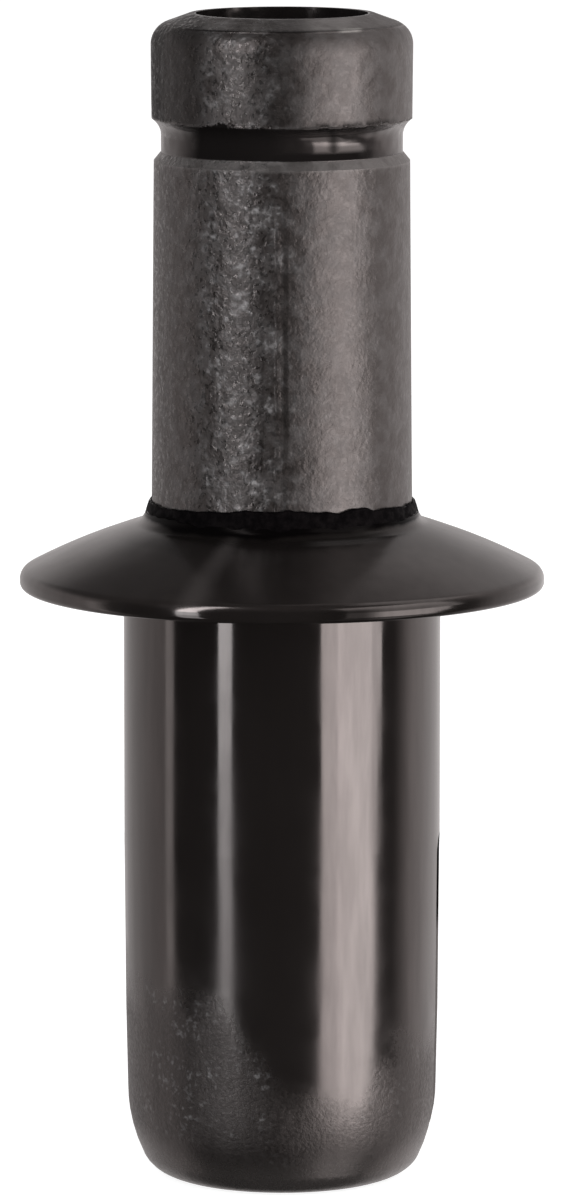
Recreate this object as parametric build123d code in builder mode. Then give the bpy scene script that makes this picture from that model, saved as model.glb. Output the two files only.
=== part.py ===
"""Plastic push rivet: a flanged sleeve with two legs, and the grooved pin that is pressed into it.

The rivet stands on its foot. The origin is the centre of the foot, +Z runs up the axis, and the slots
between the two legs open along X. The pin is modelled raised, as the rivet is supplied. Millimetres.
"""

from build123d import *

import os
from math import radians, sqrt, tan

# ---- fits between the two pieces -------------------------------------------------------------------
slide_gap = 0.025  # radial, pin shank to the lands that guide it
seat_gap = 0.05  # square to the wedge cone, with the pin pressed home
home_recess = 0.10  # the pressed pin's end stops this far above the foot

# ---- pin, from its top down ------------------------------------------------------------------------
pin_proud = 12.17  # stands this far above the sleeve's mouth, which is also its stroke
shank_d = 6.52  # at the sleeve's mouth and below
shank_draft = 0.46  # degrees, thinner towards the head
head_d = 6.53  # across the top of the head's side
head_draft = 0.45  # degrees, thinner towards the groove
head_l = 2.60  # top of the pin to the groove
crown_slope = 20.0  # degrees, the cone round the top
crown_edge_r = 0.60
rim_d = 4.60  # inner edge of the crown, round the core hole
core_d = 4.30
core_depth = 7.50
core_draft = 1.0  # degrees
core_floor_r = 0.60
groove_w = 1.05
groove_d = 6.02
groove_top_r = 0.50  # hollow corner under the head
groove_chamfer = 0.22  # height of the bevel on the shank's shoulder
wedge_l = 2.40  # cone at the pin's lower end
wedge_end_d = 4.10
wedge_end_r = 0.15

# ---- sleeve, from its foot up ----------------------------------------------------------------------
barrel_l = 14.92  # foot to the underside of the flange
barrel_d = 7.94
grip_l = 6.25  # straight stretch under the flange, where the panels sit
leg_draft = 0.45  # degrees, thinner towards the foot
lead_l = 4.20  # foot to where the legs start to taper
lead_taper = 1.20  # degrees
nose_l = 2.20  # foot to where the taper starts to round in
nose_r = 3.90
foot_edge_r = 0.90
flange_d = 13.12
flange_rim_t = 0.40
flange_top_r = 0.30  # rounds the rim's upper edge
flange_foot_r = 0.14  # rounds its lower edge
dome_r = 15.00
dome_rise = 1.66  # underside of the flange to the dome's edge at the collar
dish_depth = 0.60  # hollow cone under the flange, at the barrel
dish_land = 0.60  # flat ring at its rim, which seats on the panel
dish_root_r = 0.30
collar_h = 0.52  # lip round the mouth, above the dome's edge
collar_wall = 0.035  # at the mouth
collar_draft = 16.0  # degrees, thicker towards the dome
collar_root_r = 0.45
mouth_land = 0.70  # length of bore that guides the pin at the mouth
bead_h = 0.04  # snap bead, above the bore
bead_w = 0.50
slot_w = 1.00
slot_l = 8.70  # foot to the slot's round end

# ---- worked out from the above ---------------------------------------------------------------------
mouth_z = barrel_l + dome_rise + collar_h
pin_top_z = mouth_z + pin_proud
land_r = shank_d / 2 + slide_gap
bore_r = land_r + bead_h

groove_r = groove_d / 2
groove_top_z = pin_top_z - head_l
groove_foot_z = groove_top_z - groove_w
wedge_end_z = pin_proud + home_recess
wedge_top_z = wedge_end_z + wedge_l
wedge_slope = (shank_d - wedge_end_d) / 2 / wedge_l
bead_z = (groove_top_z + groove_foot_z) / 2 - pin_proud


def drafted(radius, drop, degrees):
    """Radius left after a drafted side has run for drop along the axis."""
    return radius - drop * tan(radians(degrees))


def corner(sketch, r, z):
    """The profile's vertex at radius r and height z."""
    return sketch.vertices().sort_by_distance(Vector(r, z, 0))[0]


def build_pin():
    """Cored, grooved pin with a wedge cone at its lower end, turned about Z."""
    head_r = head_d / 2
    head_foot_r = drafted(head_r, head_l, head_draft)
    shoulder_r = drafted(shank_d / 2, groove_foot_z - mouth_z, shank_draft)
    crown_corner = (head_r, pin_top_z - (head_r - rim_d / 2) * tan(radians(crown_slope)))
    core_floor = (drafted(core_d / 2, core_depth, core_draft), pin_top_z - core_depth)
    # Hollow corner under the head: an arc that leaves the groove's wall squarely.
    overhang = head_foot_r - groove_r
    hollow_l = sqrt(groove_top_r**2 - (groove_top_r - overhang) ** 2)
    hollow_foot = (groove_r, groove_top_z - hollow_l)
    with BuildPart() as pin:
        with BuildSketch(Plane.XZ) as outline:
            with BuildLine():
                Polyline(
                    hollow_foot,
                    (groove_r, groove_foot_z + groove_chamfer),
                    (shoulder_r, groove_foot_z),
                    (shank_d / 2, mouth_z),
                    (shank_d / 2, wedge_top_z),
                    (wedge_end_d / 2, wedge_end_z),
                    (0, wedge_end_z),
                    (0, core_floor[1]),
                    core_floor,
                    (core_d / 2, pin_top_z),
                    (rim_d / 2, pin_top_z),
                    crown_corner,
                    (head_foot_r, groove_top_z),
                )
                RadiusArc((head_foot_r, groove_top_z), hollow_foot, -groove_top_r)
            make_face()
            fillet(corner(outline, *core_floor), core_floor_r)
            fillet(corner(outline, *crown_corner), crown_edge_r)
            fillet(corner(outline, wedge_end_d / 2, wedge_end_z), wedge_end_r)
        revolve(axis=Axis.Z)
    return pin


def build_sleeve():
    """Tapered barrel with a domed flange, bored for the pin and slotted into two legs."""
    flange_r = flange_d / 2
    rim_top = (flange_r, barrel_l + flange_rim_t)
    dish_root = (barrel_d / 2, barrel_l + dish_depth)
    collar_top_r = land_r + collar_wall
    collar_foot = (collar_top_r + collar_h * tan(radians(collar_draft)), barrel_l + dome_rise)
    # Barrel: straight grip, drafted legs down to the lead-in, a taper, and the nose rounds in to the foot.
    grip_foot_z = barrel_l - grip_l
    lead_r = drafted(barrel_d / 2, grip_foot_z - lead_l, leg_draft)
    nose_top_r = drafted(lead_r, lead_l - nose_l, lead_taper)
    nose_centre = nose_top_r - nose_r
    nose_foot_r = nose_centre + sqrt(nose_r**2 - nose_l**2)
    nose_mid_r = nose_centre + sqrt(nose_r**2 - (nose_l / 2) ** 2)
    # Wedge seat: the pressed pin's cone, moved out square to itself by seat_gap.
    seat_foot_r = (wedge_end_d / 2) - home_recess * wedge_slope + seat_gap * sqrt(1 + wedge_slope**2)
    seat_top_z = (bore_r - seat_foot_r) / wedge_slope
    with BuildPart() as sleeve:
        with BuildSketch(Plane.XZ) as outline:
            with BuildLine():
                ThreePointArc((nose_foot_r, 0), (nose_mid_r, nose_l / 2), (nose_top_r, nose_l))
                Polyline(
                    (nose_top_r, nose_l),
                    (lead_r, lead_l),
                    (barrel_d / 2, grip_foot_z),
                    dish_root,
                    (flange_r - dish_land, barrel_l),
                    (flange_r, barrel_l),
                    rim_top,
                )
                RadiusArc(rim_top, collar_foot, -dome_r)
                Polyline(
                    collar_foot,
                    (collar_top_r, mouth_z),
                    (land_r, mouth_z),
                    (land_r, mouth_z - mouth_land),
                    (bore_r, mouth_z - mouth_land - bead_h),
                    (bore_r, seat_top_z),
                    (seat_foot_r, 0),
                    (nose_foot_r, 0),
                )
            make_face()
            fillet(corner(outline, nose_foot_r, 0), foot_edge_r)
            fillet(corner(outline, *dish_root), dish_root_r)
            fillet(corner(outline, flange_r, barrel_l), flange_foot_r)
            fillet(corner(outline, *rim_top), flange_top_r)
            fillet(corner(outline, *collar_foot), collar_root_r)
        revolve(axis=Axis.Z)
        # Snap bead, which the pin's groove drops over when the pin is home.
        with BuildSketch(Plane.XZ):
            with BuildLine():
                ThreePointArc(
                    (bore_r, bead_z - bead_w / 2),
                    (land_r, bead_z),
                    (bore_r, bead_z + bead_w / 2),
                )
                Polyline(
                    (bore_r, bead_z + bead_w / 2),
                    (bore_r + bead_h, bead_z + bead_w / 2),
                    (bore_r + bead_h, bead_z - bead_w / 2),
                    (bore_r, bead_z - bead_w / 2),
                )
            make_face()
        revolve(axis=Axis.Z)
        # Slots through both sides of the barrel, open at the foot and round at the top.
        with BuildSketch(Plane.YZ):
            with Locations((0, slot_l - slot_w / 2)):
                Circle(slot_w / 2)
            with Locations((0, (slot_l - slot_w / 2) / 2)):
                Rectangle(slot_w, slot_l - slot_w / 2)
        extrude(amount=flange_d / 2, both=True, mode=Mode.SUBTRACT)
    return sleeve


os.makedirs("parts", exist_ok=True)

pin = build_pin()
pin.part.label = "pin"
export_step(pin.part, "parts/pin.step")

sleeve = build_sleeve()
sleeve.part.label = "sleeve"
export_step(sleeve.part, "parts/sleeve.step")

print("stroke", pin_proud, "mouth height", round(mouth_z, 3), "bead height", round(bead_z, 3))
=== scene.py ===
"""Looks for the plastic push rivet: a glossy black sleeve and a matte, eroded pin, on a white sweep.

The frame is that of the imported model: metres, origin at the foot, +Z up the axis. The part's sizes are
written in millimetres and turned into metres by MM. Azimuths are in degrees from the camera's side of
the part, positive towards the camera's right.
"""

import math
import random

import bmesh
import bpy
from mathutils import Matrix, Vector


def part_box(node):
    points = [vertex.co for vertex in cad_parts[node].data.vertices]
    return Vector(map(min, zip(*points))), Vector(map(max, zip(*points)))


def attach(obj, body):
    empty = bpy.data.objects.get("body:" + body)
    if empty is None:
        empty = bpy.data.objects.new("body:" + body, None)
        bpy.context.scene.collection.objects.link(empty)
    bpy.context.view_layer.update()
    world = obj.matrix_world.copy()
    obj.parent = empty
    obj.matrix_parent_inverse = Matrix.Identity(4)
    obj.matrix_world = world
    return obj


MM = 0.001

# ---- camera ----------------------------------------------------------------------------------------
CAMERA_AZIMUTH = 4.4  # the slots lie a little round from the camera's right
CAMERA_ELEVATION = 8.4
CAMERA_DISTANCE = 193.0 * MM
AIM_HEIGHT = 14.56 * MM
AIM_RIGHT = 0.05 * MM
SENSOR_HEIGHT = 24.0
LENS = 154.0

# ---- lamps and surroundings ------------------------------------------------------------------------
PLAIN = (1.0, 1.0, 1.0)
COOL = (0.93, 1.0, 1.03)
LESS_COOL = (0.97, 1.0, 1.02)
LAMP_DISTANCE = 0.50
# Each softbox: name, azimuth from and to, elevation from and to, radiance, colour.
# The key's outer edge steps back downwards, so that its stripe on the barrel narrows towards the foot.
SOFTBOXES = (
    ("key", 41, 69, -22, 2, 6.5, PLAIN),
    ("key_inner", 28.7, 41, -22, 2, 5.0, PLAIN),
    ("key_outer_high", 69, 77.6, -9.6, 2, 4.6, PLAIN),
    ("key_outer_mid", 69, 74.2, -11.6, -9.6, 4.6, PLAIN),
    ("key_outer_low", 69, 71.8, -22, -11.6, 4.6, PLAIN),
    ("key_top", 29, 84, 2, 48, 2.2, PLAIN),
    ("key_low", 29, 77, -62, -22, 1.25, PLAIN),
    ("strip", -46.5, -36.5, -10.3, 3, 5.2, COOL),
    ("strip_low", -46.5, -36.5, -32, -10.3, 2.9, COOL),
    ("strip_top", -46, -37, 3, 60, 11.0, LESS_COOL),
    ("sweep_edge", -94, -86, -30, 12, 0.85, PLAIN),
)
OVERHEAD_AZIMUTH = 100.0
OVERHEAD_ELEVATION = 58.0
OVERHEAD_SIZE = 0.26
OVERHEAD_RADIANCE = 0.8
SWEEP_LEFT = 0.74  # pale backdrop behind the part
SWEEP_RIGHT = 1.20
ROOM_RADIANCE = 0.06  # dark room behind the camera
CEILING_RADIANCE = 0.15
WARM_SWEEP = (0.828, 0.786, 0.780)
FLOOR_SIZE = 3.0
FLOOR_DROP = 0.01 * MM  # just clear of the feet, so that the two faces don't coincide
FLOOR_GREY = (0.5, 0.5, 0.5, 1.0)
FLOOR_GLOW = 0.88  # what the camera sees on top of the lit grey, up to white

# ---- sizes of the mouldings that their boxes don't give, in millimetres ----------------------------
FLANGE_UNDERSIDE = 14.92
FLANGE_R = 6.56
RIM_THICKNESS = 0.40
RIM_TOP_R = 0.30
RIM_FOOT_R = 0.14
DOME_R = 15.00
DOME_RISE = 1.66
LIP_TOP_R = 3.32
LIP_WALL = 0.035
LIP_DRAFT = 16.0  # degrees
LIP_ROOT_R = 0.45
LIP_GAP = 0.025  # between the torn flash and the widest part of the pin
GROOVE_FOOT = 3.43  # below the pin's top
GROOVE_TOP = 2.60
CORE_R = 2.17
WITNESS_R = 2.98  # line round the crown
WITNESS_HALF_W = 0.06
SHANK_R = 3.26  # at the sleeve's mouth and below
SHOULDER_R = 3.192
HEAD_FOOT_R = 3.244
HEAD_TOP_R = 3.259

# ---- looks -----------------------------------------------------------------------------------------
WARM = (1.0, 0.865, 0.835, 1.0)  # the black plastic's reflections are slightly brown
PLASTIC_IOR = 1.65
FLASH_IOR = 1.11

SLEEVE_BLACK = (0.0074, 0.0062, 0.0058)
FOOT_PAINTED_LIGHT_BLACK = (0.0230, 0.0205, 0.0195)
DOME_PAINTED_REFLECTION = (0.0320, 0.0282, 0.0272)
NOSE_PAINTED_GLINT = (0.092, 0.089, 0.090)
SLOT_WALL_PAINTED_LIGHT = (0.20, 0.185, 0.18)
LIP_PAINTED_SHADE = (0.0016, 0.0013, 0.0014)
DOME_PAINTED_LIGHT = (0.0300, 0.0270, 0.0262)

PIN_DARK = (0.0085, 0.0072, 0.0066)
PIN_PALE = (0.0290, 0.0274, 0.0272)
PIN_PAINTED_GLINT = (0.190, 0.184, 0.186)
PIN_SMOOTH = (0.0085, 0.0072, 0.0070)
PIN_PAINTED_SHADE = (0.0085, 0.0072, 0.0068)
WITNESS_PAINTED_SHADE = (0.006, 0.005, 0.005)
CROWN_PAINTED_SHEEN = (0.115, 0.108, 0.104)
CROWN_PAINTED_HIGHLIGHT = (0.20, 0.19, 0.18)
SHOULDER_PAINTED_LIGHT = (0.078, 0.073, 0.071)

FLASH_PAINTED_SHADE_DARK = (0.0008, 0.0006, 0.0009)
FLASH_PAINTED_SHADE_PALE = (0.0034, 0.0026, 0.0030)


def right_of(azimuth):
    """Unit vector in plan for an azimuth from the camera's side of the part."""
    angle = math.radians(azimuth + CAMERA_AZIMUTH)
    return Vector((math.sin(angle), -math.cos(angle), 0.0))


# ---- node helpers ----------------------------------------------------------------------------------
class Nodes:
    """A node tree with short calls for adding and linking nodes."""

    def __init__(self, tree):
        self.tree = tree
        tree.nodes.clear()

    def add(self, kind, inputs=None, **settings):
        node = self.tree.nodes.new(kind)
        for key, value in settings.items():
            setattr(node, key, value)
        for key, value in (inputs or {}).items():
            self.feed(node.inputs[key], value)
        return node

    def feed(self, socket, value):
        if isinstance(value, bpy.types.NodeSocket):
            self.tree.links.new(value, socket)
        else:
            socket.default_value = value

    def math(self, operation, a, b=0.0):
        return self.add("ShaderNodeMath", {0: a, 1: b}, operation=operation).outputs[0]

    def plus(self, a, b):
        return self.math("ADD", a, b)

    def minus(self, a, b):
        return self.math("SUBTRACT", a, b)

    def times(self, *values):
        """Product of several values; the product of several shares is where all of them hold."""
        result = values[0]
        for value in values[1:]:
            result = self.math("MULTIPLY", result, value)
        return result

    def larger(self, *values):
        """Largest of several values; the largest of several shares is where any of them holds."""
        result = values[0]
        for value in values[1:]:
            result = self.math("MAXIMUM", result, value)
        return result

    def ramp(self, value, low, high, start=0.0, end=1.0):
        """value mapped smoothly from low..high to start..end."""
        node = self.add(
            "ShaderNodeMapRange",
            {"Value": value, "From Min": low, "From Max": high, "To Min": start, "To Max": end},
            interpolation_type="SMOOTHSTEP",
        )
        return node.outputs["Result"]

    def stripe(self, value, centre, half_width, core=0.0):
        """1 where value is within core of the centre, falling to 0 at half_width."""
        return self.ramp(self.math("ABSOLUTE", self.minus(value, centre)), half_width, core)

    def noise(self, vector, scale, detail=2.0, rough=0.5):
        node = self.add(
            "ShaderNodeTexNoise",
            {"Vector": vector, "Scale": scale, "Detail": detail, "Roughness": rough},
        )
        return node.outputs["Fac"]

    def swing(self, noise, width):
        """Noise moved to swing about 0, over at most the width."""
        return self.times(self.minus(noise, 0.5), width)

    def stretch(self, vector, x, y, z):
        node = self.add("ShaderNodeMapping", {"Vector": vector, "Scale": (x, y, z)})
        return node.outputs["Vector"]

    def split(self, vector):
        return self.add("ShaderNodeSeparateXYZ", {"Vector": vector}).outputs[:3]

    def mix(self, share, a, b):
        return self.add("ShaderNodeMix", {0: share, 2: a, 3: b}, data_type="FLOAT").outputs[0]

    def tint(self, share, a, b):
        """Colour a with b laid over it by the share; b, and a too if it isn't a socket, is a tuple."""
        a = (*a, 1.0) if isinstance(a, tuple) else a
        return self.add("ShaderNodeMix", {0: share, 6: a, 7: (*b, 1.0)}, data_type="RGBA").outputs[2]

    def bump(self, height, distance, normal=None):
        """Normal of a relief, which is height times distance in millimetres, over another normal."""
        node = self.add("ShaderNodeBump", {"Height": height, "Distance": distance * MM, "Strength": 1.0})
        if normal is not None:
            self.feed(node.inputs["Normal"], normal)
        return node.outputs["Normal"]

    def plastic(self, colour, rough, normal, ior, level=0.5):
        """Ends the tree in a plastic; level scales its reflections, and 0.5 leaves them as they are."""
        shader = self.add(
            "ShaderNodeBsdfPrincipled",
            {
                "Base Color": colour,
                "Roughness": rough,
                "IOR": ior,
                "Specular IOR Level": level,
                "Specular Tint": WARM,
                "Normal": normal,
            },
        )
        self.add("ShaderNodeOutputMaterial", {"Surface": shader.outputs[0]})


class Place:
    """Where the surface is: point in metres, and x, y, z and the distance from the axis in millimetres."""

    def __init__(self, n):
        self.point = n.add("ShaderNodeTexCoord").outputs["Object"]
        self.x, self.y, self.z = (n.times(axis, 1 / MM) for axis in n.split(self.point))
        self.out = n.math("SQRT", n.plus(n.times(self.x, self.x), n.times(self.y, self.y)))


def new_material(name):
    """A material and its node tree, which is empty."""
    material = bpy.data.materials.new(name)
    material.use_nodes = True
    return material, Nodes(material.node_tree)


# ---- sleeve's material -----------------------------------------------------------------------------
def frosted_zone(n, at):
    """Share of the frost round the nose; its edge dips a little to the right, and the foot is smoother."""
    rise = n.plus(n.ramp(at.x, 1.6, -1.9, 0.0, 2.85), n.ramp(at.x, 1.6, 3.45, 0.0, 1.7))
    ragged = n.swing(n.noise(at.point, 900.0, 3.0), 2.6)
    frost = n.ramp(n.plus(n.minus(at.z, rise), ragged), 3.2, 1.0)
    return n.times(frost, n.ramp(n.plus(at.z, n.times(ragged, 0.3)), 0.7, 1.6, 0.45, 1.0))


def satin_zone(n, at):
    """Share of the satin dome, which on the left reaches down over the rim."""
    dome = n.ramp(at.z, FLANGE_UNDERSIDE + 0.24, FLANGE_UNDERSIDE + 0.42)
    rim = n.times(n.ramp(at.z, FLANGE_UNDERSIDE - 0.07, FLANGE_UNDERSIDE), n.ramp(at.x, -2.9, -3.6))
    return n.larger(dome, rim)


def lip_root_painted_shade(n, at, cloud):
    """Share of the painted shade that dulls the dome's reflections in front, and of the ring of painted
    shade at the lip's root.
    """
    on_dome = n.ramp(at.z, FLANGE_UNDERSIDE + 0.18, FLANGE_UNDERSIDE + 0.48)
    spot = n.times(n.stripe(at.x, 2.90, 0.50, 0.12), 0.50)
    dome_shade = n.times(
        n.ramp(n.plus(at.out, n.swing(cloud, 1.2)), 5.3, 3.6),
        n.ramp(at.y, -0.6, -3.2),
        n.larger(n.ramp(at.x, 0.9, 1.8, 1.0, 0.15), spot),
        on_dome,
    )
    reach = n.ramp(at.x, 0.5, 1.6, 4.35, 3.92)
    root = n.times(n.ramp(at.out, reach, 3.66), n.ramp(at.y, -0.6, -3.0), on_dome, 0.96)
    return n.larger(n.times(dome_shade, 0.8), root)


def painted_shade_below_flash(n, at, mouth):
    """Share of the painted shade that runs down from the torn flash, furthest in front on the left."""
    deep = n.times(n.ramp(at.x, 1.3, 0.1), n.ramp(at.y, -1.8, -2.6))
    ragged = n.swing(n.noise(at.point, 1500.0, 3.0, 0.6), 0.16)
    hem = n.plus(n.mix(deep, 0.37, 0.48), ragged)
    return n.ramp(n.minus(n.minus(mouth, at.z), hem), 0.09, -0.03)


def handled_rim(n, at):
    """Share of the rim's lower edge that is dull from handling, on the right."""
    return n.times(
        n.ramp(at.z, FLANGE_UNDERSIDE + 0.40, FLANGE_UNDERSIDE + 0.28),
        n.ramp(at.z, FLANGE_UNDERSIDE - 0.06, FLANGE_UNDERSIDE),
        n.ramp(at.x, 1.0, 1.8, 0.0, 0.92),
        n.ramp(at.x, 2.4, 3.1, 1.0, 0.55),
    )


def dome_painted_reflection(n, at, satin):
    """Share of the faint painted reflection that runs straight down the dome on the left."""
    slant = n.math("DIVIDE", at.x, n.times(n.math("MINIMUM", at.y, -1.0), -1.0))
    return n.times(n.stripe(slant, -0.280, 0.105), n.ramp(at.y, -3.0, -4.0), satin)


def dome_painted_light_arc(n, at, satin, flash_shade):
    """Share of the thin arc of painted light beside the lip, in front on the right."""
    return n.times(
        n.stripe(at.out, 3.80, 0.20, 0.06),
        n.ramp(at.x, 0.7, 1.5),
        n.ramp(at.x, 3.0, 2.4),
        n.ramp(at.y, -1.2, -1.8),
        n.minus(1.0, flash_shade),
        satin,
    )


def slot_walls_painted_light(n, at):
    """Share of the slots' walls, which face along Y and are painted pale grey as painted light; it fades
    towards the slots' round ends.
    """
    normal = n.add("ShaderNodeNewGeometry").outputs["True Normal"]
    facing = n.math("ABSOLUTE", n.split(normal)[1])
    below = n.ramp(at.z, 6.6, 6.0)
    return n.times(n.ramp(facing, 0.985, 0.995), below, n.ramp(n.math("ABSOLUTE", at.x), 1.6, 2.0))


def nose_painted_glints(n, at, frost):
    """Share of the pale specks of painted glint in the frosted zone, more of them on the left."""
    return n.times(
        n.ramp(n.noise(at.point, 6800.0, 2.0), 0.52, 0.80),
        n.ramp(frost, 0.2, 0.8),
        n.ramp(n.noise(at.point, 1000.0, 1.0), 0.44, 0.62),
        n.ramp(at.x, 1.2, -0.3, 0.4, 1.0),
        n.ramp(at.z, 1.1, 2.0, 0.2, 1.0),
    )


def sleeve_material(mouth):
    """Glossy black plastic, satin on the dome and frosted round the nose; mouth is in millimetres."""
    material, n = new_material("gloss_black")
    at = Place(n)
    cloud = n.noise(at.point, 700.0, 2.0)
    grain = n.noise(at.point, 11000.0, 3.0, 0.6)
    frost = frosted_zone(n, at)
    satin = satin_zone(n, at)
    flash_shade = painted_shade_below_flash(n, at, mouth)
    slot_wall_light = slot_walls_painted_light(n, at)

    gloss = n.plus(n.ramp(at.z, 14.0, 3.5, 0.075, 0.15), n.ramp(cloud, 0.3, 0.7, 0.0, 0.05))
    rough = n.mix(satin, gloss, n.ramp(cloud, 0.3, 0.7, 0.17, 0.22))
    rough = n.mix(frost, rough, n.ramp(grain, 0.3, 0.7, 0.34, 0.50))
    rough = n.mix(slot_wall_light, rough, 0.5)

    # Faint upright streaks in the gloss, and the places where it is killed: painted shade round the lip and
    # under the flash, and wear on the rim.
    streaks = n.noise(n.stretch(at.point, 1.0, 1.0, 0.12), 2600.0, 3.0, 0.6)
    level = n.ramp(streaks, 0.25, 0.75, 0.44, 0.57)
    level = n.mix(lip_root_painted_shade(n, at, cloud), level, 0.0)
    level = n.mix(flash_shade, level, 0.02)
    level = n.mix(handled_rim(n, at), level, 0.0)

    # The black turns paler towards the foot: painted light on the nose's underside.
    colour = n.tint(n.ramp(at.z, 0.4, 1.3), FOOT_PAINTED_LIGHT_BLACK, SLEEVE_BLACK)
    # Painted reflection running down the dome on the left.
    colour = n.tint(dome_painted_reflection(n, at, satin), colour, DOME_PAINTED_REFLECTION)
    # Pale specks of painted glint in the frost.
    colour = n.tint(nose_painted_glints(n, at, frost), colour, NOSE_PAINTED_GLINT)
    # Painted light on the slots' walls.
    colour = n.tint(slot_wall_light, colour, SLOT_WALL_PAINTED_LIGHT)
    # Painted shade below the torn flash, on the satin dome.
    colour = n.tint(n.times(flash_shade, satin), colour, LIP_PAINTED_SHADE)
    # Painted light in the hollow beside the lip.
    colour = n.tint(dome_painted_light_arc(n, at, satin, flash_shade), colour, DOME_PAINTED_LIGHT)

    # Slight sinks and waves in the moulding, which make the reflections' edges wander.
    waves = n.bump(n.noise(n.stretch(at.point, 1.0, 1.0, 0.30), 330.0, 1.0), 0.030)
    normal = n.bump(n.times(grain, frost), 0.012, waves)
    n.plastic(colour, rough, normal, PLASTIC_IOR, level)
    return material


# ---- pin's material --------------------------------------------------------------------------------
def groove_oil(n, at, foot):
    """Share of the groove that mould oil dulls: left and middle, foot, and a narrow stripe on the right."""
    far_left = n.ramp(at.x, -2.6, -1.8)
    left = n.times(n.ramp(at.x, 0.5, -0.1), far_left)
    low = n.times(n.ramp(at.z, foot + 0.28, foot + 0.14), n.ramp(at.x, 2.7, 2.0), far_left)
    return n.larger(left, low, n.times(n.stripe(at.x, 1.47, 0.22), 0.8))


def crown_painted_sheen(n, at, head_foot, core_r, blotch):
    """Share of the crown's painted sheen in front, most of all on the right."""
    return n.times(
        n.ramp(at.out, WITNESS_R, WITNESS_R - 0.12),
        n.ramp(at.out, core_r + 0.05, core_r + 0.20),
        n.ramp(at.x, 0.35, 1.20, 0.28, 1.0),
        n.ramp(at.x, 2.10, 1.70, 0.30, 1.0),
        n.ramp(at.x, -2.4, -1.6),
        n.ramp(at.y, -0.5, -1.2),
        n.ramp(at.z, head_foot + 1.8, head_foot + 2.0),
        n.ramp(blotch, 0.25, 0.60, 0.35, 1.0),
    )


def crown_painted_highlight(n, at, off_line, head_foot):
    """Share of the painted highlight on the witness line, in front on the right."""
    return n.times(
        n.stripe(off_line, -0.4, 1.9, 0.5),
        n.stripe(at.x, 1.86, 0.34, 0.14),
        n.ramp(at.y, -0.5, -1.2),
        n.ramp(at.z, head_foot + 1.5, head_foot + 1.7),
    )


def head_painted_shade(n, at, on_head):
    """Share of the painted shade that dulls the head, on the left and in the middle."""
    middle = n.times(n.stripe(at.x, 0.25, 0.75, 0.25), 0.6)
    return n.times(on_head, n.larger(n.ramp(at.x, -1.45, -2.0), middle), 0.7)


def head_edge_painted_shade(n, at, on_head, head_foot):
    """Share of the painted shade along the head's lower edge, on the right."""
    return n.times(
        n.ramp(at.z, head_foot + 0.19, head_foot + 0.04),
        n.ramp(at.x, 0.5, 1.2),
        n.ramp(at.x, 3.05, 2.75),
        n.ramp(n.noise(at.point, 2600.0, 3.0, 0.6), 0.30, 0.50, 0.3, 1.0),
        on_head,
    )


def shank_painted_shade_lines(n, at, groove_foot):
    """Share of the two broken lines of painted shade that run up the shank beside the parting line."""
    upright = n.stretch(at.point, 0.0, 0.0, 1.0)
    x = n.plus(at.x, n.swing(n.noise(upright, 900.0, 3.0), 0.22))
    weaker = n.times(n.stripe(x, -0.25, 0.08, 0.02), 0.6)
    return n.times(
        n.larger(n.stripe(x, 0.34, 0.10, 0.03), weaker),
        n.ramp(n.noise(upright, 420.0, 2.0), 0.36, 0.56, 0.25, 1.0),
        n.ramp(at.y, -2.2, -2.8),
        n.ramp(at.z, groove_foot - 1.0, groove_foot - 3.0, 0.3, 1.0),
    )


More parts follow.
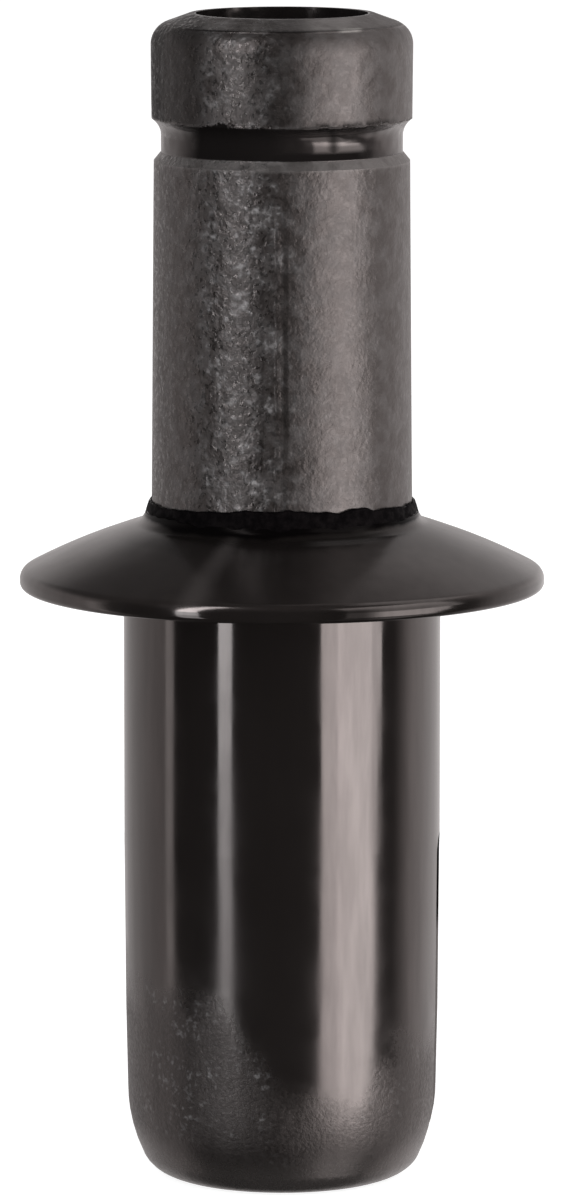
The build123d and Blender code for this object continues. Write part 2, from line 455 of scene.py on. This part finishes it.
def pin_material(groove, core_r):
    """Black plastic with a spark-eroded grain that glints; the groove and the core hole are smooth.

    groove is the (lowest, highest) height of the groove's wall, and core_r the radius inside which
    the surface belongs to the core hole, all in millimetres."""
    material, n = new_material("eroded_black")
    at = Place(n)
    groove_foot, head_foot = groove
    coarse = n.noise(at.point, 9500.0, 2.0, 0.55)
    fine = n.noise(at.point, 18000.0, 2.0, 0.6)
    blotch = n.noise(at.point, 1600.0, 3.0, 0.6)
    clumps = n.noise(at.point, 2700.0, 2.0, 0.55)

    # The head's lower edge is torn, so the smooth groove runs up into it here and there.
    torn = n.ramp(n.noise(at.point, 2600.0, 4.0, 0.6), 0.45, 0.75, 0.0, -0.20)
    in_groove = n.times(
        n.ramp(at.z, groove_foot - 0.02, groove_foot + 0.02),
        n.ramp(n.plus(at.z, torn), head_foot + 0.03, head_foot - 0.05),
    )
    in_core = n.ramp(at.out, core_r + 0.03, core_r - 0.03)
    on_head = n.ramp(at.z, head_foot, head_foot + 0.06)
    smooth = n.larger(in_groove, in_core)
    rough_skin = n.minus(1.0, smooth)
    # The grain is coarse on one half of the tool and worn nearly smooth on the other.
    worn = n.ramp(at.x, -0.5, 0.9)

    # A low witness line runs round the crown, with painted shade along it except on the right.
    off_line = n.math("DIVIDE", n.minus(at.out, WITNESS_R), WITNESS_HALF_W)
    upward = n.ramp(at.z, head_foot, head_foot + 0.5)
    witness = n.ramp(n.math("ABSOLUTE", off_line), 1.0, 0.0, 0.0, upward)
    patchy = n.ramp(n.noise(at.point, 700.0, 2.0), 0.40, 0.50)
    witness_shade = n.times(witness, patchy, n.ramp(at.x, 1.2, 0.7))

    shade_lines = n.times(shank_painted_shade_lines(n, at, groove_foot), rough_skin, 0.65)
    edge_shade = n.times(head_edge_painted_shade(n, at, on_head, head_foot), 0.80)
    # Painted shade on the pin: the head, the lines beside the parting line and under the head's edge.
    dark = n.larger(head_painted_shade(n, at, on_head), shade_lines, edge_shade)

    dry = n.mix(worn, n.ramp(blotch, 0.3, 0.7, 0.37, 0.46), n.ramp(blotch, 0.3, 0.7, 0.40, 0.48))
    glint = n.times(n.ramp(n.noise(at.point, 8200.0, 1.0), 0.52, 0.62), n.mix(worn, 1.0, 0.25))
    rough = n.mix(glint, dry, 0.24)
    rough = n.mix(in_groove, rough, 0.19)
    rough = n.mix(in_core, rough, 0.14)

    polished = n.times(n.ramp(at.x, 1.2, 2.1), rough_skin)
    level = n.mix(n.times(in_groove, groove_oil(n, at, groove_foot)), n.mix(polished, 0.5, 0.59), 0.0)
    level = n.mix(witness_shade, level, 0.05)
    level = n.mix(dark, level, 0.06)
    # The head's side is dark at the far left.
    level = n.mix(n.times(on_head, n.ramp(at.x, -2.60, -3.05), 0.85), level, 0.0)

    cloudy = n.plus(n.times(blotch, 0.5), n.times(clumps, 0.5))
    colour = n.tint(n.ramp(cloudy, 0.40, 0.60), PIN_DARK, PIN_PALE)
    # Pale specks of painted glint, most of them in the left band of the coarse half.
    pin_painted_glints = n.times(
        n.ramp(n.noise(at.point, 6600.0, 2.0), 0.44, 0.74),
        n.ramp(clumps, 0.46, 0.62),
        n.ramp(blotch, 0.38, 0.52, 0.45, 1.0),
        n.mix(worn, n.ramp(at.x, -2.0, -1.4, 0.12, 1.0), 0.12),
        n.mix(on_head, 1.0, 0.65),
    )
    colour = n.tint(pin_painted_glints, colour, PIN_PAINTED_GLINT)
    colour = n.tint(smooth, colour, PIN_SMOOTH)
    colour = n.tint(witness_shade, colour, WITNESS_PAINTED_SHADE)
    colour = n.tint(crown_painted_sheen(n, at, head_foot, core_r, blotch), colour, CROWN_PAINTED_SHEEN)
    colour = n.tint(crown_painted_highlight(n, at, off_line, head_foot), colour, CROWN_PAINTED_HIGHLIGHT)
    colour = n.tint(dark, colour, PIN_PAINTED_SHADE)
    # Painted light makes the shank's shoulder pale.
    shoulder = n.times(
        n.ramp(at.z, groove_foot - 0.30, groove_foot - 0.20),
        n.ramp(at.z, groove_foot + 0.01, groove_foot - 0.03),
        n.ramp(clumps, 0.30, 0.55, 0.55, 1.0),
    )
    colour = n.tint(shoulder, colour, SHOULDER_PAINTED_LIGHT)

    # The groove's wall is a little hollow and wavy; the witness line and the grain lie on top.
    from_middle = n.minus(at.z, (groove_foot + head_foot) / 2)
    normal = n.bump(n.times(from_middle, from_middle, in_groove, 0.54), 1.0)
    normal = n.bump(n.noise(at.point, 1700.0, 1.0), 0.032, normal)
    normal = n.bump(witness, 0.034, normal)
    lumps = n.times(n.noise(at.point, 3800.0, 1.0), n.mix(worn, 1.3, 0.5))
    grain = n.plus(n.plus(coarse, lumps), n.times(fine, 0.15))
    relief = n.times(n.mix(worn, 0.021, 0.013), n.mix(on_head, 1.0, 0.70))
    normal = n.bump(n.times(grain, rough_skin, relief), 1.0, normal)
    n.plastic(colour, rough, normal, PLASTIC_IOR, level)
    return material


def flash_material():
    """Torn flash round the sleeve's mouth: dull black, darkened further as painted shade between pin and
    sleeve.
    """
    material, n = new_material("torn_flash")
    torn = n.noise(n.add("ShaderNodeTexCoord").outputs["Object"], 5000.0, 3.0, 0.6)
    colour = n.tint(n.ramp(torn, 0.35, 0.7), FLASH_PAINTED_SHADE_DARK, FLASH_PAINTED_SHADE_PALE)
    n.plastic(colour, n.ramp(torn, 0.3, 0.7, 0.75, 0.55), n.bump(torn, 0.030), FLASH_IOR)
    return material


# ---- pieces that the solids leave out --------------------------------------------------------------
def mesh_object(name, rows, closed, material):
    """A skin over a grid of points, given row by row; each row is a ring if closed."""
    mesh = bmesh.new()
    grid = [[mesh.verts.new(point) for point in row] for row in rows]
    for below, above in zip(grid, grid[1:]):
        count = len(below)
        for i in range(count if closed else count - 1):
            j = (i + 1) % count
            mesh.faces.new((below[i], below[j], above[j], above[i]))
    bmesh.ops.recalc_face_normals(mesh, faces=mesh.faces)
    data = bpy.data.meshes.new(name)
    mesh.to_mesh(data)
    mesh.free()
    for polygon in data.polygons:
        polygon.use_smooth = True
    data.materials.append(material)
    obj = bpy.data.objects.new(name, data)
    bpy.context.scene.collection.objects.link(obj)
    return obj


def wander(seed, count, passes):
    """count numbers in 0..1 that wander and meet at the ends, smoothed by the passes, for ragged edges."""
    dice = random.Random(seed)
    values = [dice.random() for _ in range(count)]
    for _ in range(passes):
        values = [(values[i - 1] + 2 * values[i] + values[(i + 1) % count]) / 4 for i in range(count)]
    low, high = min(values), max(values)
    return [(value - low) / (high - low) for value in values]


def around(azimuth, radius, height):
    """Point at an azimuth, a radius and a height."""
    return right_of(azimuth) * radius + Vector((0, 0, height))


def arc(centre, radius, start, end, steps):
    """Points (r, z, angle) of an arc in the plane of radius and height.

    Angles are in radians from outward, positive up."""
    points = []
    for i in range(steps + 1):
        angle = start + (end - start) * i / steps
        points.append((centre[0] + radius * math.cos(angle), centre[1] + radius * math.sin(angle), angle))
    return points


def angle_from(centre, point):
    """Angle of a point as seen from a centre, in radians."""
    return math.atan2(point.y - centre.y, point.x - centre.x)


SKIN_UNDER = 0.25  # how far the flange's skin runs in under the rim, from the rounding
SKIN_LIFT = 0.004  # how far outside the solid it lies
SKIN_LIFT_AT_LIP = 0.014
SKIN_RISE_FROM_R = 4.4  # it lifts off further inside this radius,
SKIN_RISE_L = 0.6  # over this much of the radius


def flange_profile(mouth):
    """Points (r, z, angle outwards) of the flange, from its underside up to the lip, in millimetres."""
    draft = math.radians(LIP_DRAFT)
    dome_edge = FLANGE_UNDERSIDE + DOME_RISE
    rim_top = Vector((FLANGE_R, FLANGE_UNDERSIDE + RIM_THICKNESS))
    lip_foot = Vector((LIP_TOP_R + (mouth - dome_edge) * math.tan(draft), dome_edge))
    chord = rim_top - lip_foot
    normal = Vector((chord.y, -chord.x)).normalized()
    centre = (rim_top + lip_foot) / 2 + normal * math.sqrt(DOME_R**2 - (chord.length / 2) ** 2)
    # Rounding at the rim's top: touches the rim's wall and the dome from inside.
    top_x = FLANGE_R - RIM_TOP_R
    top_y = centre.y + math.sqrt((DOME_R - RIM_TOP_R) ** 2 - (top_x - centre.x) ** 2)
    top = Vector((top_x, top_y))
    top_angle = angle_from(centre, top)
    # Hollow at the lip's root: touches the lip's cone and the dome from outside.
    outward = Vector((math.cos(draft), math.sin(draft)))
    along = Vector((-math.sin(draft), math.cos(draft)))
    start = lip_foot + outward * LIP_ROOT_R
    to_centre = start - centre
    b = to_centre.dot(along)
    t = -b + math.sqrt(b * b - to_centre.length_squared + (DOME_R + LIP_ROOT_R) ** 2)
    root = start + along * t
    root_angle = angle_from(centre, root)

    foot = (FLANGE_R - RIM_FOOT_R, FLANGE_UNDERSIDE + RIM_FOOT_R)
    profile = [(foot[0] - SKIN_UNDER, FLANGE_UNDERSIDE, -math.pi / 2)]
    profile += arc(foot, RIM_FOOT_R, -math.pi / 2, 0.0, 8)
    profile += arc(top, RIM_TOP_R, 0.0, top_angle, 14)
    profile += arc(centre, DOME_R, top_angle, root_angle, 40)[1:]
    # The hollow's arc is walked from the dome's touch point to the cone, and faces its own centre.
    for r, z, angle in arc(root, LIP_ROOT_R, root_angle - math.pi, draft - math.pi, 12)[1:]:
        profile.append((r, z, angle + math.pi))
    return profile


def flange_skin(mouth, material):
    """A fine skin over the flange's top and rim, from the underside to under the torn flash.

    It lies a few microns outside the solid, a little more at the lip, and has the solid's outline."""
    count = 720
    rows = []
    for r, z, angle in flange_profile(mouth):
        near_lip = max(0.0, min(1.0, (SKIN_RISE_FROM_R - r) / SKIN_RISE_L))
        lift = SKIN_LIFT + (SKIN_LIFT_AT_LIP - SKIN_LIFT) * near_lip
        radius, height = (r + lift * math.cos(angle)) * MM, (z + lift * math.sin(angle)) * MM
        rows.append([around(360.0 * i / count, radius, height) for i in range(count)])
    return mesh_object("flange_skin", rows, True, material)


def torn_flash(mouth, inner_r, material):
    """A ragged collar of flash over the thin lip, standing up a little against the pin in front.

    mouth and inner_r, which is just outside the bore's radius, are in millimetres."""
    count = 360
    drop = 0.50
    tip = 0.020  # how far out the crest is
    tuck = 0.012  # how far the hem is sunk into the lip
    teeth = wander(5, count, 5)
    swell = wander(11, count, 40)
    lumps = wander(23, count, 8)
    hem = wander(47, count, 6)
    slope = math.tan(math.radians(LIP_DRAFT))
    rows = [[] for _ in range(7)]
    for i in range(count):
        angle = 360.0 * i / count
        # 1 in front, a little right of the middle, and 0 from 60 degrees on each side of that.
        front = max(0.0, math.cos(math.radians(1.5 * ((angle + 170.0) % 360.0 - 180.0))))
        # The crest is toothed all round and stands higher in front; the hem hangs lower there.
        top = mouth + 0.01 + (0.08 + 0.10 * swell[i]) * front + 0.09 * (teeth[i] - 0.5)
        outer = inner_r + LIP_WALL + 0.004 + 0.018 * lumps[i]
        hang = drop * (0.42 + 0.50 * front + 0.20 * hem[i])
        section = (
            (inner_r + 0.004, mouth - 0.05),
            (inner_r + 0.004, top - 0.01),
            (inner_r + tip, top),
            (outer, max(top - 0.05, mouth - 0.02)),
            (outer + 0.5 * hang * slope, mouth - 0.5 * hang),
            (outer + 0.85 * hang * slope, mouth - 0.85 * hang),
            (inner_r + LIP_WALL + hang * slope - tuck, mouth - hang),
        )
        for row, (radius, height) in zip(rows, section):
            row.append(around(angle, radius * MM, height * MM))
    return mesh_object("torn_flash", rows + [rows[0]], True, material)


PARTING_HEIGHT = 0.022
PARTING_SINK = 0.004
PARTING_DRIFT = 0.06  # how far it wanders sideways
# Its section: how far across, in millimetres, and how high, as a share of its height.
RIDGE = ((-0.060, -0.3), (-0.035, 0.35), (0.0, 1.0), (0.025, 0.85), (0.065, 0.35), (0.110, -0.3))


def parting_line(name, azimuth, stations, material, share_of_height=1.0):
    """A low, uneven ridge up the pin, which sinks into it here and there and at its ends.

    stations are (height, radius) pairs in millimetres, evenly shared out from the bottom up."""
    steps = 240
    fade = 12.0  # the height fades out over a twelfth of the length at each end
    size = wander(31 + int(azimuth), steps, 3)
    drift = wander(67 + int(azimuth), steps, 12)
    rows = []
    for i in range(steps):
        share = i / (steps - 1) * (len(stations) - 1)
        k = min(int(share), len(stations) - 2)
        (z0, r0), (z1, r1) = stations[k], stations[k + 1]
        z = z0 + (z1 - z0) * (share - k)
        r = r0 + (r1 - r0) * (share - k)
        ends = min(1.0, fade * min(i, steps - 1 - i) / steps)
        tall = PARTING_HEIGHT * size[i] * share_of_height * ends - PARTING_SINK
        row = []
        for across, up in RIDGE:
            turn = math.degrees((across + PARTING_DRIFT * (drift[i] - 0.5)) / r)
            lift = tall * up if tall > 0 else tall
            row.append(around(azimuth + turn, (r + lift) * MM, z * MM))
        rows.append(row)
    return mesh_object(name, rows, False, material)


def dress(obj, material):
    """Puts one material on the whole of a piece."""
    obj.data.materials.clear()
    obj.data.materials.append(material)
    for polygon in obj.data.polygons:
        polygon.material_index = 0


# ---- stage -----------------------------------------------------------------------------------------
def area_lamp(name, width, height, radiance, colour, matrix):
    """A rectangular area lamp that shows in reflections but not to the camera."""
    light = bpy.data.lights.new(name, "AREA")
    light.shape = "RECTANGLE"
    light.size = width
    light.size_y = height
    light.color = colour
    light.energy = radiance * math.pi * width * height
    lamp = bpy.data.objects.new(name, light)
    lamp.matrix_world = matrix
    lamp.visible_camera = False
    bpy.context.scene.collection.objects.link(lamp)


def facing_part(place, outward):
    """Matrix of something at a place that looks back along outward, with its upper side up."""
    return Matrix.LocRotScale(place, outward.to_track_quat("Z", "Y"), None)


def softbox(name, start, end, low, high, radiance, colour):
    """A flat panel that fills a stretch of azimuth and elevation as seen from the part."""
    outward = right_of((start + end) / 2)
    foot, head = (math.tan(math.radians(angle)) * LAMP_DISTANCE for angle in (low, high))
    width = 2 * LAMP_DISTANCE * math.tan(math.radians(end - start) / 2)
    place = outward * LAMP_DISTANCE + Vector((0, 0, AIM_HEIGHT + (foot + head) / 2))
    area_lamp(name, width, head - foot, radiance, colour, facing_part(place, outward))


def overhead():
    """A small softbox high on the right, which catches the crown's edge."""
    rise = math.radians(OVERHEAD_ELEVATION)
    outward = right_of(OVERHEAD_AZIMUTH) * math.cos(rise) + Vector((0, 0, math.sin(rise)))
    place = outward * LAMP_DISTANCE + Vector((0, 0, AIM_HEIGHT))
    matrix = facing_part(place, outward)
    area_lamp("overhead", OVERHEAD_SIZE, OVERHEAD_SIZE, OVERHEAD_RADIANCE, PLAIN, matrix)


def surroundings():
    """A pale sweep at the sides and behind, a dark room in front, and white where the camera looks."""
    world = bpy.data.worlds.new("studio")
    bpy.context.scene.world = world
    world.use_nodes = True
    n = Nodes(world.node_tree)
    ray = n.add("ShaderNodeTexCoord").outputs["Generated"]
    turned = n.add(
        "ShaderNodeVectorRotate",
        {"Vector": ray, "Angle": -math.radians(CAMERA_AZIMUTH)},
        rotation_type="Z_AXIS",
    )
    x, y, z = n.split(turned.outputs[0])
    azimuth = n.math("DEGREES", n.math("ARCTAN2", x, n.times(y, -1.0)))
    # The left side fades upwards; the right one fades upwards and towards the back.
    left = n.times(n.ramp(azimuth, -90, -84, SWEEP_LEFT, 0.0), n.ramp(z, 0.26, 0.62, 1.0, 0.03))
    right = n.times(
        n.ramp(azimuth, 87, 112, 0.0, SWEEP_RIGHT),
        n.ramp(azimuth, 135, 160, 1.0, 0.88),
        n.ramp(azimuth, 162, 176, 1.0, 0.70),
        n.ramp(z, 0.05, 0.45, 1.0, 0.55),
        n.ramp(z, 0.60, 0.90, 1.0, 0.40),
    )
    sides = n.times(n.plus(left, right), n.ramp(z, -0.85, -0.6))
    glow = n.plus(sides, n.ramp(z, 0.30, 0.80, ROOM_RADIANCE, CEILING_RADIANCE))
    camera_ray = n.add("ShaderNodeLightPath").outputs["Is Camera Ray"]
    strength = n.mix(camera_ray, glow, 1.0)
    colour = n.tint(camera_ray, WARM_SWEEP, PLAIN)
    background = n.add("ShaderNodeBackground", {"Color": colour, "Strength": strength})
    n.add("ShaderNodeOutputWorld", {"Surface": background.outputs[0]})


def floor():
    """White floor that keeps the part's shadow and stays out of its reflections."""
    mesh = bpy.data.meshes.new("floor")
    signs = ((-1, -1), (1, -1), (1, 1), (-1, 1))
    corners = [(x * FLOOR_SIZE, y * FLOOR_SIZE, -FLOOR_DROP) for x, y in signs]
    mesh.from_pydata(corners, [], [(0, 1, 2, 3)])
    obj = bpy.data.objects.new("floor", mesh)
    bpy.context.scene.collection.objects.link(obj)
    material, n = new_material("white_floor")
    camera_ray = n.add("ShaderNodeLightPath").outputs["Is Camera Ray"]
    diffuse = n.add("ShaderNodeBsdfDiffuse", {"Color": FLOOR_GREY})
    glow = n.add("ShaderNodeEmission", {"Strength": n.times(camera_ray, FLOOR_GLOW)})
    both = n.add("ShaderNodeAddShader", {0: diffuse.outputs[0], 1: glow.outputs[0]})
    n.add("ShaderNodeOutputMaterial", {"Surface": both.outputs[0]})
    mesh.materials.append(material)
    obj.visible_glossy = False
    obj.visible_shadow = False


def camera():
    """Portrait camera, looking slightly down at the middle of the part."""
    data = bpy.data.cameras.new("camera")
    data.sensor_fit = "VERTICAL"
    data.sensor_height = SENSOR_HEIGHT
    data.lens = LENS
    data.clip_start = 0.01
    obj = bpy.data.objects.new("camera", data)
    bpy.context.scene.collection.objects.link(obj)
    elevation = math.radians(CAMERA_ELEVATION)
    outward = right_of(0) * math.cos(elevation) + Vector((0, 0, math.sin(elevation)))
    aim = Vector((0, 0, AIM_HEIGHT)) + right_of(90) * AIM_RIGHT
    obj.matrix_world = facing_part(aim + outward * CAMERA_DISTANCE, outward)
    bpy.context.scene.camera = obj


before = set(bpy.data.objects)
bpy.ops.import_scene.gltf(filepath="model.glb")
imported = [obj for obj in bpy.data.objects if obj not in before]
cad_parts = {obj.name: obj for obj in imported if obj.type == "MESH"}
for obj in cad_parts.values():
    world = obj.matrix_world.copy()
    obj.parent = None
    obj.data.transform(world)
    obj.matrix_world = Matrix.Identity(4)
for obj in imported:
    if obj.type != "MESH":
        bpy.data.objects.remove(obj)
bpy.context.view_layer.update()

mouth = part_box("sleeve")[1].z / MM
pin_low, pin_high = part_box("pin")
pin_foot, pin_top = pin_low.z / MM, pin_high.z / MM
groove = (pin_top - GROOVE_FOOT, pin_top - GROOVE_TOP)

gloss = sleeve_material(mouth)
dress(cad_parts["sleeve"], gloss)
skin = flange_skin(mouth, gloss)
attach(skin, "sleeve")
eroded = pin_material(groove, CORE_R)
dress(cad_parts["pin"], eroded)

flash = torn_flash(mouth, pin_high.x / MM + LIP_GAP, flash_material())
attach(flash, "sleeve")
shank_stations = [(pin_foot + 2.5, SHANK_R), (mouth, SHANK_R), (groove[0] - 0.26, SHOULDER_R)]
head_stations = [(groove[1] + 0.03, HEAD_FOOT_R), (pin_top - 0.75, HEAD_TOP_R)]
for side, azimuth in (("front", -2.2), ("back", 177.8)):
    shank = parting_line("parting_line_" + side, azimuth, shank_stations, eroded)
    head = parting_line("parting_line_head_" + side, azimuth, head_stations, eroded, 0.6)
    for ridge in (shank, head):
        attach(ridge, "pin")

for spec in SOFTBOXES:
    softbox(*spec)
overhead()
surroundings()
floor()
camera()
bpy.context.scene.view_settings.view_transform = "Standard"
